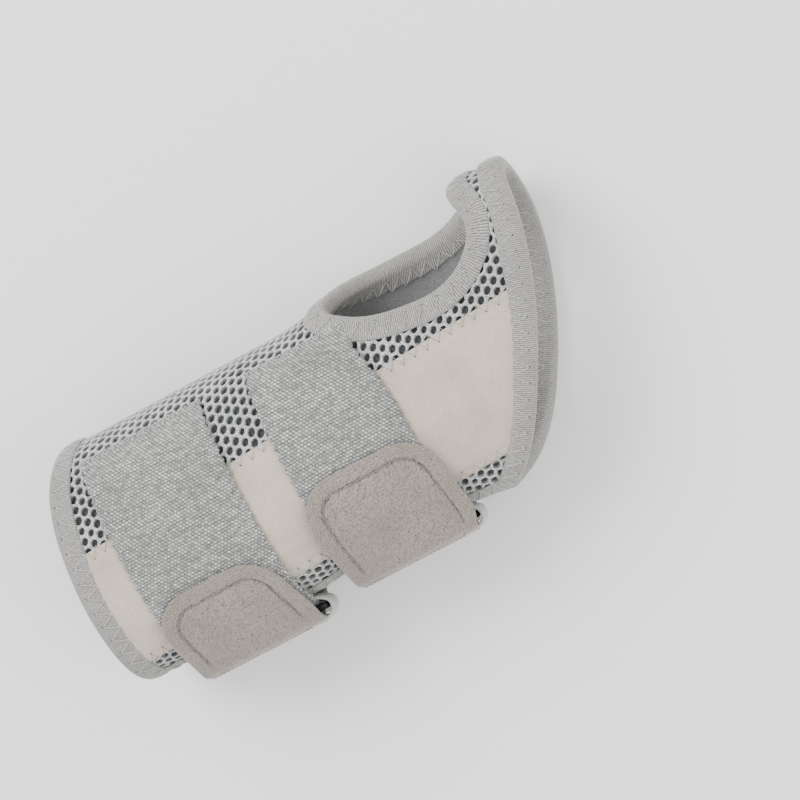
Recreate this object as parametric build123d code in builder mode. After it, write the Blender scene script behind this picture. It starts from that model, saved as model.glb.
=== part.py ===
"""Wrist splint: a wrap-round mesh sleeve with a stiffened palm panel and two ring-and-tab straps.

Frame, in millimetres: +X runs along the forearm towards the fingers, +Y towards the thumb and +Z
out of the palm. The splint lies on its back, on Z = 0, and X = 0 is the middle of its length.
"""
from build123d import *
from math import cos, exp, hypot, radians, sin
import os

# ---- driving dimensions -------------------------------------------------------------------
X_PROXIMAL = -77.0            # forearm end of the sleeve
ULNAR_SIDE = 33.2             # little-finger side, measured from Y = 0
WRIST_X = 10.5                # the little-finger side is drawn in here by the upper strap
WRIST_DEPTH = 4.0
WRIST_LENGTH = 23.0
FOREARM_RADIAL_SIDE = 34.0    # thumb side over the forearm
PALM_FLARE = 14.0             # how much further out the thumb side runs at the palm
FLARE_START = -2.0
FLARE_LENGTH = 72.0
DIP = 1.0                     # depth of the back pressed flat by its rest on Z = 0
SQUARENESS = 0.12             # 0 is an ellipse

MESH_THICK = 2.5
LINING_THICK = 0.7
LINING_GAP = 0.05
BINDING_THICK = 0.7
BINDING_WIDTH = 6.7

PANEL_LOW, PANEL_TOP = 1.12, 1.45
STAY_LOW, STAY_TOP = 0.15, 1.05
ELASTIC_THICK = 0.9
ELASTIC_MID = 2.15            # middle of the elastic above the mesh, where it crosses the panel
ELASTIC_SEWN_MID = 0.9        # the same at its sewn end
HOOK_LOW, HOOK_TOP = 2.8, 3.4
TAB_LOW, TAB_TOP = 3.45, 4.6
THREAD_THICK = 0.25

PANEL_STATIONS = [-84 + 10.5 * i for i in range(17)]
STAY_ENDS = (-62.0, 41.0)
STAY_CENTRE_Y = -7.5
STAY_WIDTH = 18.0
STAY_PALM_FLARE = 2.5         # each side, past the wrist
STAY_CAP = 7.0                # length of the soft cap on each end
HOOK_INSET = 1.2
STITCH_INSET = 4.0
STITCH_WIDTH = 0.8
SEAM_SHORT = {"lower": 0.5, "upper": 9.0}   # how far the seam stops short of the elastic's finger edge

BAR_RADIUS = 0.9
STRAP_BAR_Z = 27.0            # the bar that the strap folds round
KEEPER_BAR_Z = 18.5           # the bar held by the webbing
RING_CORNER = 2.4
RING_INNER_CORNER = 1.0
RING_EDGE = 0.7               # rounding of the ring's bar
FOLD_RADIUS = 1.8             # middle of the elastic round the strap bar
TAB_ROOT_RADIUS = 3.1         # middle of the tab beside the strap bar
TAB_ROOT_ANGLE = 147.0
KEEPER_INNER_RADIUS = 1.2
KEEPER_PLAY = 1.6             # room between the webbing's edges and the ring
KEEPER_OUTER_RADIUS = 2.1
KEEPER_TAIL_ANGLES = (196, 202, 208, 214)
KEEPER_TAIL_LOW, KEEPER_TAIL_HIGH = 1.25, 3.0

SLIT_LOW, SLIT_HIGH = 19.0, 24.0
TAB_CORNER = 11.0

# each strap: X of the elastic's and the tab's edges, Y of the sewn end and of the tab's tip,
# and the ring's middle X, bar Y and inner length
STRAPS = {
    "lower": {"elastic": (-60.3, -22.2), "tab": (-60.6, -23.0), "sewn_y": 27.0, "tip_y": -13.9,
              "ring_x": -41.25, "bar_y": -37.3, "ring_length": 38.8},
    "upper": {"elastic": (-8.4, 26.5), "tab": (-10.0, 30.0), "sewn_y": 27.0, "tip_y": -5.4,
              "ring_x": 9.05, "bar_y": -34.2, "ring_length": 36.0},
}

SECTION_STATIONS = (-84, -63, -42, -21, 0, 21, 42, 63, 84)
WRAP_POINTS = 17
os.makedirs("parts", exist_ok=True)


# ---- the hand's form ----------------------------------------------------------------------
def smooth(t):
    t = min(max(t, 0.0), 1.0)
    return t * t * (3 - 2 * t)


def radial_side(x):
    return FOREARM_RADIAL_SIDE + PALM_FLARE * smooth((x - FLARE_START) / FLARE_LENGTH)


def ulnar_side(x):
    return ULNAR_SIDE - WRIST_DEPTH * exp(-((x - WRIST_X) / WRIST_LENGTH) ** 2)


def height(x):
    return 43.9 - 0.07 * x - 0.0004 * x * x


def section_point(x, angle, out=0.0):
    """Y and Z on the section at x; angle 0 is the thumb side, 90 the palm, 180 the little finger side."""
    half_width = (radial_side(x) + ulnar_side(x)) / 2
    centre_y = (radial_side(x) - ulnar_side(x)) / 2
    half_height = (height(x) + DIP) / 2
    centre_z = (height(x) - DIP) / 2
    c, s = cos(radians(angle)), sin(radians(angle))
    y = centre_y + (half_width + out) * c * (1 + SQUARENESS * s * s)
    z = centre_z + (half_height + out) * s * (1 + SQUARENESS * c * c)
    return y, z


def angle_at(x, y):
    """The angle on the palm side where the section at x passes through y."""
    low, high = 1.0, 179.0
    for _ in range(40):
        middle = (low + high) / 2
        if section_point(x, middle)[0] > y:
            low = middle
        else:
            high = middle
    return low


def angle_at_height(x, z):
    """The angle on the little finger side where the section at x passes through height z."""
    low, high = 91.0, 269.0
    for _ in range(40):
        middle = (low + high) / 2
        if section_point(x, middle)[1] > z:
            low = middle
        else:
            high = middle
    return low


def band(x, first, last, low, high, count):
    """Corners of a band of the section at x, between two angles and two distances from the form."""
    angles = [first + (last - first) * i / (count - 1) for i in range(count)]
    return [section_point(x, a, high) for a in angles], [section_point(x, a, low) for a in reversed(angles)]


def yz_plane(x):
    return Plane(origin=(x, 0, 0), x_dir=(0, 1, 0), z_dir=(1, 0, 0))


def skin(stations, outlines):
    """A loft through YZ profiles, each given as its outer and its inner line."""
    with BuildPart() as piece:
        for x, (outer, inner) in zip(stations, outlines):
            with BuildSketch(yz_plane(x)):
                with BuildLine():
                    top = Spline(*outer)
                    bottom = Spline(*inner)
                    Line(top @ 1, bottom @ 0)
                    Line(bottom @ 1, top @ 0)
                make_face()
        loft()
    return piece.part


def wrap(low, high):
    """A layer right round the hand, open along the little finger side and pressed flat on Z = 0."""
    outlines = []
    for x in SECTION_STATIONS:
        first, last = angle_at_height(x, SLIT_LOW) - 360, angle_at_height(x, SLIT_HIGH)
        outlines.append(band(x, first, last, low, high, WRAP_POINTS))
    with BuildPart() as layer:
        add(skin(SECTION_STATIONS, outlines))
        with Locations((0, 0, -50)):
            Box(400, 400, 100, mode=Mode.SUBTRACT)
    return layer.part


# ---- cutting outlines ---------------------------------------------------------------------
def beside(points, distance, closed=False):
    """The points moved sideways by distance, to the left of their direction of travel."""
    moved = []
    last = len(points) - 1
    for i, (u, v) in enumerate(points):
        before = points[i - 1] if i or closed else points[i]
        after = points[(i + 1) % len(points)] if i < last or closed else points[i]
        du, dv = after[0] - before[0], after[1] - before[1]
        length = hypot(du, dv)
        moved.append((u - dv / length * distance, v + du / length * distance))
    return moved


PROXIMAL_EDGE = [(-64, 44), (-67.9, 35), (-72.2, 25), (-74.8, 14), (-76.2, 3), (X_PROXIMAL, -8),
                 (-77, -19), (-76.8, -29), (-76, -36), (-75, -44)]
DISTAL_EDGE = [(26, -42), (32.5, -36), (39, -32.6), (46.1, -29.4), (52.7, -23.3), (57.8, -16.4),
               (63.1, -7.3), (68, 2.2), (72, 12), (74.8, 21), (76.9, 30.2), (77.9, 38.5), (78, 56)]


def body_plan(inset):
    """Everything between the forearm edge and the finger edge, seen from the palm."""
    with BuildPart() as plan:
        with BuildSketch(Plane.XY.offset(-5)):
            with BuildLine():
                proximal = Spline(*beside(PROXIMAL_EDGE, inset))
                distal = Spline(*beside(DISTAL_EDGE, inset))
                Line(proximal @ 1, distal @ 0)
                Polyline(distal @ 1, (78, 90), (-64, 90), proximal @ 0)
            make_face()
        extrude(amount=70)
    return plan.part


THUMB_SLANT = 0.45            # the thumb opening leans outwards towards the back of the hand
THUMB_LEVEL = 37.0            # height at which the outline below is true
CUT_TOP = 60.0
THUMB_EDGE = [(11.5, 33.5), (16.5, 31.8), (22, 30), (27.5, 27.9), (33.5, 26.3), (40.5, 25.2),
              (47.3, 24.6), (53.8, 25.7), (59, 28.4), (62.5, 32), (63.6, 36.2), (61.4, 40.4),
              (54, 43.8), (40, 47), (24, 46), (13, 40)]


def thumb_cut(outset):
    top = Plane(origin=(0, -THUMB_SLANT * (CUT_TOP - THUMB_LEVEL), CUT_TOP))
    with BuildPart() as cut:
        with BuildSketch(top):
            with BuildLine():
                Spline(*beside(THUMB_EDGE, -outset, closed=True), periodic=True)
            make_face()
        extrude(amount=90, dir=(0, THUMB_SLANT, -1))
    return cut.part


def plan_strip(x0, x1, y0, y1, corner=0.0, low=15.0):
    """A block over the palm side, with its two corners at the y1 side rounded."""
    with BuildPart() as block:
        with BuildSketch(Plane.XY.offset(low)):
            with Locations(((x0 + x1) / 2, (y0 + y1) / 2)):
                Rectangle(x1 - x0, y1 - y0)
            if corner:
                fillet(vertices().group_by(Axis.Y)[-1], corner)
        extrude(amount=50)
    return block.part


# ---- sleeve: mesh, lining and bindings ----------------------------------------------------
inner_plan = body_plan(BINDING_WIDTH)
thumb_field = thumb_cut(BINDING_WIDTH)

with BuildPart() as inner_field:
    add(inner_plan)
    with Locations((-10, -ULNAR_SIDE, (SLIT_LOW + SLIT_HIGH) / 2)):
        Box(240, 30, SLIT_HIGH - SLIT_LOW + 2 * BINDING_WIDTH, mode=Mode.SUBTRACT)


def sheet(low, high):
    with BuildPart() as cut_sheet:
        add(wrap(low, high))
        add(inner_field.part, mode=Mode.INTERSECT)
        add(thumb_field, mode=Mode.SUBTRACT)
    return cut_sheet.part


with BuildPart() as mesh_shell:
    add(sheet(-MESH_THICK, 0))

with BuildPart() as lining:
    add(sheet(-MESH_THICK - LINING_THICK, -MESH_THICK - LINING_GAP))

tape = wrap(-MESH_THICK - LINING_THICK - BINDING_THICK, BINDING_THICK)

with BuildPart() as edge_binding:
    add(tape)
    add(body_plan(0), mode=Mode.INTERSECT)
    add(inner_field.part, mode=Mode.SUBTRACT)

with BuildPart() as thumb_binding:
    add(tape)
    add(thumb_field, mode=Mode.INTERSECT)
    add(thumb_cut(0), mode=Mode.SUBTRACT)

mesh_shell.part.label = "mesh_shell"
lining.part.label = "lining"
edge_binding.part.label = "edge_binding"
thumb_binding.part.label = "thumb_binding"
for sleeve_part in (mesh_shell, lining, edge_binding, thumb_binding):
    export_step(sleeve_part.part, f"parts/{sleeve_part.part.label}.step")


# ---- palm panel and the stay under it -----------------------------------------------------
def palm_strip(stations, ulnar_y, radial_y, low, high, count=7):
    """A strip along the palm between two lines, each giving Y as a function of x."""
    outlines = []
    for x in stations:
        outlines.append(band(x, angle_at(x, radial_y(x)), angle_at(x, ulnar_y(x)), low, high, count))
    return skin(stations, outlines)


def panel_radial(x):
    return 10.6 + 0.07 * x


def panel_ulnar(x):
    return -25.1 + 0.045 * x


with BuildPart() as palm_panel:
    add(palm_strip(PANEL_STATIONS, panel_ulnar, panel_radial, PANEL_LOW, PANEL_TOP))
    add(body_plan(BINDING_WIDTH + 0.15), mode=Mode.INTERSECT)
    add(thumb_cut(BINDING_WIDTH + 0.15), mode=Mode.SUBTRACT)
palm_panel.part.label = "palm_panel"
export_step(palm_panel.part, "parts/palm_panel.step")


def stay_edge(side):
    return lambda x: STAY_CENTRE_Y + side * (STAY_WIDTH / 2 + STAY_PALM_FLARE * smooth(x / 40))


def stay_between(x0, x1, low, high):
    stations = [x0 + (x1 - x0) * i / 6 for i in range(7)]
    return palm_strip(stations, stay_edge(-1), stay_edge(1), low, high, count=5)


with BuildPart() as palm_stay:
    add(stay_between(STAY_ENDS[0] + STAY_CAP, STAY_ENDS[1] - STAY_CAP, STAY_LOW, STAY_TOP))
palm_stay.part.label = "palm_stay"
export_step(palm_stay.part, "parts/palm_stay.step")

with BuildPart() as palm_stay_caps:
    add(stay_between(STAY_ENDS[0], STAY_ENDS[0] + STAY_CAP, STAY_LOW, STAY_TOP))
    add(stay_between(STAY_ENDS[1] - STAY_CAP, STAY_ENDS[1], STAY_LOW, STAY_TOP))
palm_stay_caps.part.label = "palm_stay_caps"
export_step(palm_stay_caps.part, "parts/palm_stay_caps.step")


# ---- straps -------------------------------------------------------------------------------
def either_side(path, thickness):
    """The outer and inner lines of a strip of even thickness along a path of Y, Z points."""
    return beside(path, -thickness / 2), list(reversed(beside(path, thickness / 2)))


def round_bar(bar, radius, first, last, count):
    """Points on an arc round a bar; angles as in a section, so 180 points to the little finger side."""
    turns = [radians(first + (last - first) * i / (count - 1)) for i in range(count)]
    return [(bar[0] + radius * cos(turn), bar[1] + radius * sin(turn)) for turn in turns]


def over_palm(x, y_first, z_last, mid, count):
    """Points over the palm from y_first to where the little finger side drops to height z_last."""
    first, last = angle_at(x, y_first), angle_at_height(x, z_last)
    shares = [i / (count - 1) for i in range(count)]
    return [section_point(x, first + (last - first) * share, mid(x, share)) for share in shares]


def elastic_path(x, sewn_y, bar):
    """From the sewn end, over the panel, down inside the ring's strap bar and up round it."""
    def mid(x, share):
        return ELASTIC_SEWN_MID + (ELASTIC_MID - ELASTIC_SEWN_MID) * smooth((share - 0.02) / 0.16)

    return over_palm(x, sewn_y, 32.0, mid, 15) + round_bar(bar, FOLD_RADIUS, 0, -175, 8)


def tab_path(x, tip_y, bar):
    """From the tip on the palm to the root, beside the ring's strap bar."""
    tab_mid = (TAB_LOW + TAB_TOP) / 2
    over = over_palm(x, tip_y, 37.0, lambda x, share: tab_mid, 9)
    shoulder = [(bar[0] - 0.2, bar[1] + 6.8), (bar[0] - 2.2, bar[1] + 4.3)]
    return over + shoulder + round_bar(bar, TAB_ROOT_RADIUS, TAB_ROOT_ANGLE, TAB_ROOT_ANGLE, 2)[:1]


def hook_path(x, tip_y):
    hook_mid = (HOOK_LOW + HOOK_TOP) / 2
    return over_palm(x, tip_y, 39.0, lambda x, share: hook_mid, 8)


def strap_strip(ends, path, thickness):
    stations = [ends[0] + (ends[1] - ends[0]) * i / 4 for i in range(5)]
    return skin(stations, [either_side(path(x), thickness) for x in stations])


def tab_plan(ends, tip_y, inset):
    """The tab seen from the palm: straight sides, and two round corners at the tip."""
    return plan_strip(ends[0] + inset, ends[1] - inset, -60, tip_y - inset, TAB_CORNER - 0.6 * inset)


def ring_at(x, bar_y, inner_length):
    """A rectangular ring of round bar, standing beside the little finger edge."""
    spacing = STRAP_BAR_Z - KEEPER_BAR_Z
    inner_height = spacing - 2 * BAR_RADIUS
    with BuildPart() as ring_part:
        with BuildSketch(Plane.XZ.offset(-bar_y - BAR_RADIUS)):
            with Locations((x, (STRAP_BAR_Z + KEEPER_BAR_Z) / 2)):
                RectangleRounded(inner_length + 4 * BAR_RADIUS, spacing + 2 * BAR_RADIUS, RING_CORNER)
                RectangleRounded(inner_length, inner_height, RING_INNER_CORNER, mode=Mode.SUBTRACT)
        extrude(amount=2 * BAR_RADIUS)
        face_edges = ring_part.edges().filter_by(lambda e: abs(e.center().Y - bar_y) > 0.5 * BAR_RADIUS)
        fillet(face_edges, RING_EDGE)
    return ring_part.part


def keeper_at(x, bar, width):
    """Webbing looped over the ring's lower bar and sewn to the back beside the slit."""
    edge = x - width / 2
    tail = [section_point(edge, a, KEEPER_TAIL_LOW) for a in KEEPER_TAIL_ANGLES]
    back = [section_point(edge, a, KEEPER_TAIL_HIGH) for a in reversed(KEEPER_TAIL_ANGLES)]
    loop = round_bar(bar, KEEPER_OUTER_RADIUS, 190, 0, 9)
    with BuildPart() as keeper:
        with BuildSketch(yz_plane(edge)):
            with BuildLine():
                inner_side = Spline(*([loop[-1]] + tail))
                outer_side = Spline(*(back + loop[:1]))
                over_bar = Spline(*loop)
                Line(inner_side @ 1, outer_side @ 0)
            make_face()
            with Locations(bar):
                Circle(KEEPER_INNER_RADIUS, mode=Mode.SUBTRACT)
        extrude(amount=width)
    return keeper.part


for name, strap in STRAPS.items():
    strap_bar = (strap["bar_y"], STRAP_BAR_Z)
    keeper_bar = (strap["bar_y"], KEEPER_BAR_Z)

    elastic_line = lambda x: elastic_path(x, strap["sewn_y"], strap_bar)
    with BuildPart() as elastic_strap:
        add(strap_strip(strap["elastic"], elastic_line, ELASTIC_THICK))
        add(thumb_cut(BINDING_WIDTH + 0.15), mode=Mode.SUBTRACT)
    elastic_strap.part.label = f"{name}_elastic_strap"

    with BuildPart() as ring:
        add(ring_at(strap["ring_x"], strap["bar_y"], strap["ring_length"]))
    ring.part.label = f"{name}_ring"

    with BuildPart() as ring_keeper:
        add(keeper_at(strap["ring_x"], keeper_bar, strap["ring_length"] - KEEPER_PLAY))
    ring_keeper.part.label = f"{name}_ring_keeper"

    tab_line = lambda x: tab_path(x, strap["tip_y"] + 2, strap_bar)
    with BuildPart() as tab:
        add(strap_strip(strap["tab"], tab_line, TAB_TOP - TAB_LOW))
        add(tab_plan(strap["tab"], strap["tip_y"], 0), mode=Mode.INTERSECT)
    tab.part.label = f"{name}_tab"

    hook_line = lambda x: hook_path(x, strap["tip_y"] + 2)
    with BuildPart() as hook_patch:
        add(strap_strip(strap["tab"], hook_line, HOOK_TOP - HOOK_LOW))
        add(tab_plan(strap["tab"], strap["tip_y"], HOOK_INSET), mode=Mode.INTERSECT)
    hook_patch.part.label = f"{name}_hook_patch"

    stitch_line = lambda x: over_palm(x, strap["tip_y"] + 2, 40.0, lambda x, share: TAB_TOP + 0.2, 8)
    with BuildPart() as tab_stitching:
        add(strap_strip(strap["tab"], stitch_line, THREAD_THICK))
        add(tab_plan(strap["tab"], strap["tip_y"], STITCH_INSET), mode=Mode.INTERSECT)
        add(tab_plan(strap["tab"], strap["tip_y"], STITCH_INSET + STITCH_WIDTH), mode=Mode.SUBTRACT)
    tab_stitching.part.label = f"{name}_tab_stitching"

    seam_top = ELASTIC_SEWN_MID + ELASTIC_THICK / 2 + 0.2
    seam_y = strap["sewn_y"] - 0.6
    seam_start = strap["elastic"][0] + 0.5
    seam_end = strap["elastic"][1] - SEAM_SHORT[name]
    with BuildPart() as strap_seam:
        add(palm_strip([seam_start, sum(strap["elastic"]) / 2, seam_end],
                       lambda x: seam_y - 1.0, lambda x: seam_y, seam_top, seam_top + THREAD_THICK, count=3))
    strap_seam.part.label = f"{name}_strap_seam"

    for piece in (elastic_strap, ring, ring_keeper, tab, hook_patch, tab_stitching, strap_seam):
        export_step(piece.part, f"parts/{piece.part.label}.step")
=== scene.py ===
"""Looks of the wrist splint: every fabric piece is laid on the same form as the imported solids.

Lengths are in millimetres while shapes are worked out, and in metres once they are meshes.
On the form a place is (x, s, out): x along the forearm, s the arc length round the section from
the middle of the palm towards the thumb, and out the distance from the mesh's outer face.
"""
import math
import bmesh
import bpy
import numpy as np
from mathutils import Matrix, Vector


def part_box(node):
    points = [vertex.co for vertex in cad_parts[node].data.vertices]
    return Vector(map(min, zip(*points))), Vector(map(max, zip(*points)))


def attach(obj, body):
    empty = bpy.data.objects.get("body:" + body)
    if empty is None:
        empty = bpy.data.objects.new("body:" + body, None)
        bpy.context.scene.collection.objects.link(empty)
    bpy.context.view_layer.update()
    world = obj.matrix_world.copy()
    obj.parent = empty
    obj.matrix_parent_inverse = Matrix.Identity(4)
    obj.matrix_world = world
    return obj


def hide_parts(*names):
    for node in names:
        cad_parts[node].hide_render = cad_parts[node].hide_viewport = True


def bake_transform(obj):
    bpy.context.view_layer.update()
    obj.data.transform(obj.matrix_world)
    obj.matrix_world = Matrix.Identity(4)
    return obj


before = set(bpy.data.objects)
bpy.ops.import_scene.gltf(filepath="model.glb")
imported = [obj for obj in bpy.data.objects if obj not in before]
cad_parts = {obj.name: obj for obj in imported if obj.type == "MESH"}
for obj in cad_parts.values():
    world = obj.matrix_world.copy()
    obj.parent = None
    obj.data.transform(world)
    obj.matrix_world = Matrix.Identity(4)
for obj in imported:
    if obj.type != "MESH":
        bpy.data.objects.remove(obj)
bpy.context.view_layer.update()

MM = 0.001
rng = np.random.default_rng(7)


def box_mm(node):
    """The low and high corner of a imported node."""
    low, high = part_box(node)
    return np.array(low) / MM, np.array(high) / MM


# ---- the form, as in the part's source ----
ULNAR_SIDE = -box_mm("mesh_shell")[0][1]
RADIAL_SIDE = 34.0
PALM_FLARE, FLARE_START, FLARE_LENGTH = 14.0, -2.0, 72.0
TALL_AT_MIDDLE, TALL_SLOPE, TALL_BEND = 43.9, -0.07, -0.0004
DIP = 1.0
RESTS_AT = 0.05
SQUARENESS = 0.12
SLIT_LOW, SLIT_HIGH = 19.0, 24.0
BINDING_WIDTH = 6.7
THUMB_SLANT, THUMB_LEVEL = 0.45, 37.0
THUMB_MIDDLE = (39.0, 20.0)     # x and angle of a place well inside the thumb opening
THUMB_REACH = 45.0              # further from there than any point of its edge
BAR_Z, KEEPER_BAR_Z = 27.0, 18.5
WRIST_X, WRIST_DEPTH, WRIST_LENGTH = 10.5, 4.0, 23.0

PROXIMAL_EDGE = [(-64, 44), (-67.9, 35), (-72.2, 25), (-74.8, 14), (-76.2, 3), (-77, -8), (-77, -19),
                 (-76.8, -29), (-76, -36), (-75, -44)]
DISTAL_EDGE = [(26, -42), (32.5, -36), (39, -32.6), (46.1, -29.4), (52.7, -23.3), (57.8, -16.4), (63.1, -7.3),
               (68, 2.2), (72, 12), (74.8, 21), (76.9, 30.2), (77.9, 38.5), (78, 56)]
THUMB_EDGE = [(11.5, 33.5), (16.5, 31.8), (22, 30), (27.5, 27.9), (33.5, 26.3), (40.5, 25.2), (47.3, 24.6),
              (53.8, 25.7), (59, 28.4), (62.5, 32), (63.6, 36.2), (61.4, 40.4), (54, 43.8), (40, 47),
              (24, 46), (13, 40)]


def smooth(t):
    """A soft step from 0 to 1."""
    t = np.clip(t, 0.0, 1.0)
    return t * t * (3 - 2 * t)


def arrays(*values):
    """The values as arrays of numbers, all of one shape."""
    return np.broadcast_arrays(*(np.asarray(value, float) for value in values))


def surface(x, angle, out=0.0):
    """Points of the form grown by out; angle in degrees, 0 at the thumb side and 90 at the palm."""
    x, angle, out = arrays(x, angle, out)
    radial = RADIAL_SIDE + PALM_FLARE * smooth((x - FLARE_START) / FLARE_LENGTH)
    ulnar = ULNAR_SIDE - WRIST_DEPTH * np.exp(-((x - WRIST_X) / WRIST_LENGTH) ** 2)
    tall = TALL_AT_MIDDLE + TALL_SLOPE * x + TALL_BEND * x * x
    c, s = np.cos(np.radians(angle)), np.sin(np.radians(angle))
    y = (radial - ulnar) / 2 + ((radial + ulnar) / 2 + out) * c * (1 + SQUARENESS * s * s)
    z = (tall - DIP) / 2 + ((tall + DIP) / 2 + out) * s * (1 + SQUARENESS * c * c)
    floor = np.where(out > 0, RESTS_AT + 0.02 * out, RESTS_AT - out)    # pressed flat where it rests
    z = np.where(z < floor, floor, z)
    return np.stack([x, y, z], axis=-1)


# look-up tables between the angle and the arc length s, for each x
TABLE_X = np.linspace(-90, 90, 91)
TABLE_ANGLE = np.linspace(200, -200, 801)
TABLE_S = np.linspace(-75, 175, 501)


def arc_tables():
    """The angle at each x and s, and the s at each x and angle."""
    table = []
    lengths = []
    for x in TABLE_X:
        line = surface(x, TABLE_ANGLE)
        steps = np.hypot(*np.diff(line[:, 1:], axis=0).T)
        s = np.concatenate([[0], np.cumsum(steps)])
        s -= np.interp(-90.0, -TABLE_ANGLE, s)
        table.append(np.interp(TABLE_S, s, TABLE_ANGLE))
        lengths.append(s)
    return np.array(table), np.array(lengths)


ANGLE_OF, S_OF = arc_tables()


def bilinear(table, i, j):
    """A table's numbers or vectors at rows i and columns j, which needn't be whole."""
    i = np.clip(i, 0, table.shape[0] - 1.001)
    j = np.clip(j, 0, table.shape[1] - 1.001)
    i0, j0 = i.astype(int), j.astype(int)
    per_vector = (1,) * (table.ndim - 2)
    fi, fj = (i - i0).reshape(i.shape + per_vector), (j - j0).reshape(j.shape + per_vector)
    return ((table[i0, j0] * (1 - fj) + table[i0, j0 + 1] * fj) * (1 - fi)
            + (table[i0 + 1, j0] * (1 - fj) + table[i0 + 1, j0 + 1] * fj) * fi)


def table_at(table, x, column_values, value):
    """Look-up in a table over TABLE_X and column_values."""
    step = column_values[1] - column_values[0]
    return bilinear(table, (x - TABLE_X[0]) / (TABLE_X[1] - TABLE_X[0]), (value - column_values[0]) / step)


def angle_at(x, s):
    x, s = arrays(x, s)
    return table_at(ANGLE_OF, x, TABLE_S, s)


def s_at(x, angle):
    x, angle = arrays(x, angle)
    return table_at(S_OF, x, TABLE_ANGLE, angle)


def place(x, s, out=0.0):
    """The point in space of a place on the form."""
    return surface(x, angle_at(x, s), out)


def solve(function, low, high, steps=40):
    """Where a falling function of one number crosses zero, for arrays of ends."""
    low, high = np.array(low, float), np.array(high, float)
    for _ in range(steps):
        middle = (low + high) / 2
        above = function(middle) > 0
        low, high = np.where(above, middle, low), np.where(above, high, middle)
    return (low + high) / 2


def angle_where(axis, x, value, low, high):
    """The angle between low and high where the section passes through a y (axis 1) or a z (axis 2)."""
    x, value, low, high = arrays(x, value, low, high)
    return solve(lambda angle: surface(x, angle)[..., axis] - value, low, high)


def angle_at_y(x, y):
    """The angle on the palm side where the section passes through y."""
    return angle_where(1, x, y, 1.0, 179.0)


def angle_at_z(x, z):
    """The angle on the little finger side where the section passes through height z."""
    return angle_where(2, x, z, 91.0, 250.0)


def curve(points, closed=False, per_span=12):
    """A smooth line through the points (Catmull-Rom)."""
    p = np.array(points, float)
    n = len(p)
    spans = n if closed else n - 1
    t = np.linspace(0, 1, per_span, endpoint=False)[:, None]
    out = []
    for i in range(spans):
        b, c = p[i % n], p[(i + 1) % n]
        a = p[(i - 1) % n] if closed or i else 2 * b - c
        d = p[(i + 2) % n] if closed or i + 2 < n else 2 * c - b
        out.append(0.5 * ((2 * b) + (c - a) * t + (2 * a - 5 * b + 4 * c - d) * t ** 2
                          + (3 * b - a - 3 * c + d) * t ** 3))
    if not closed:
        out.append(p[-1:])
    return np.concatenate(out)


def even(line, step, closed=False):
    """The line with points at even steps."""
    if closed:
        line = np.concatenate([line, line[:1]])
    lengths = np.concatenate([[0], np.cumsum(np.linalg.norm(np.diff(line, axis=0), axis=1))])
    count = max(int(round(lengths[-1] / step)), 2)
    at = np.linspace(0, lengths[-1], count + 1)
    result = np.stack([np.interp(at, lengths, line[:, k]) for k in range(line.shape[1])], axis=1)
    return result[:-1] if closed else result


def blur(line, sigma):
    """The closed line smoothed by a bell curve of sigma points."""
    reach = int(3 * sigma)
    weights = np.exp(-0.5 * (np.arange(-reach, reach + 1) / sigma) ** 2)
    weights /= weights.sum()
    return sum(w * np.roll(line, -k, axis=0) for k, w in zip(range(-reach, reach + 1), weights))


# ---- edges of the sleeve, as lines of (x, s) ----
def meet_edge(edge, y_at, shape, rounds):
    """x where lines across the sleeve, given by their y at each x, meet a plan edge."""
    line = curve(edge)
    order = np.argsort(line[:, 1])
    x = np.full(shape, line[:, 0].mean())
    for _ in range(rounds):
        x = 0.5 * x + 0.5 * np.interp(y_at(x), line[order, 1], line[order, 0])
    return x


def slit_side(first_x, last_x, z, turn=0):
    """One side of the slit along the little finger side, as far round as the turn says."""
    x = np.linspace(first_x, last_x, 120)[1:-1]
    return np.stack([x, s_at(x, angle_at_z(x, z) - turn)], axis=1)


def perimeter():
    """The sleeve's outer edge: both plan edges and both sides of the slit."""
    turn = np.linspace(0, 1, 241)
    sides = []
    for edge in (PROXIMAL_EDGE, DISTAL_EDGE):
        middle = edge[len(edge) // 2][0]
        first, last = angle_at_z(middle, SLIT_HIGH), angle_at_z(middle, SLIT_LOW) - 360
        angles = first + (last - first) * turn
        x = meet_edge(edge, lambda x: surface(x, angles)[..., 1], angles.shape, 12)
        sides.append(np.stack([x, s_at(x, angles)], axis=1))
    proximal, distal = sides
    back_slit = slit_side(proximal[-1, 0], distal[-1, 0], SLIT_LOW, 360)
    palm_slit = slit_side(distal[0, 0], proximal[0, 0], SLIT_HIGH)
    loop = np.concatenate([proximal, back_slit, distal[::-1], palm_slit])
    return blur(even(loop, 1.0, closed=True), 2.6)


def in_loop(loop, x, s):
    """True where (x, s) is inside a closed line."""
    nxt = np.roll(loop, -1, axis=0)
    flat_x, flat_s = np.ravel(x), np.ravel(s)
    inside = np.zeros(len(flat_x), bool)
    for i in range(0, len(flat_x), 4000):
        u, v = flat_x[i:i + 4000, None], flat_s[i:i + 4000, None]
        hit = (loop[:, 1] > v) != (nxt[:, 1] > v)
        rise = nxt[:, 1] - loop[:, 1]
        cross = (nxt[:, 0] - loop[:, 0]) * (v - loop[:, 1]) / np.where(rise == 0, 1, rise) + loop[:, 0]
        inside[i:i + 4000] = (hit & (u < cross)).sum(axis=1) % 2 == 1
    return inside.reshape(np.shape(x))


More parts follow.
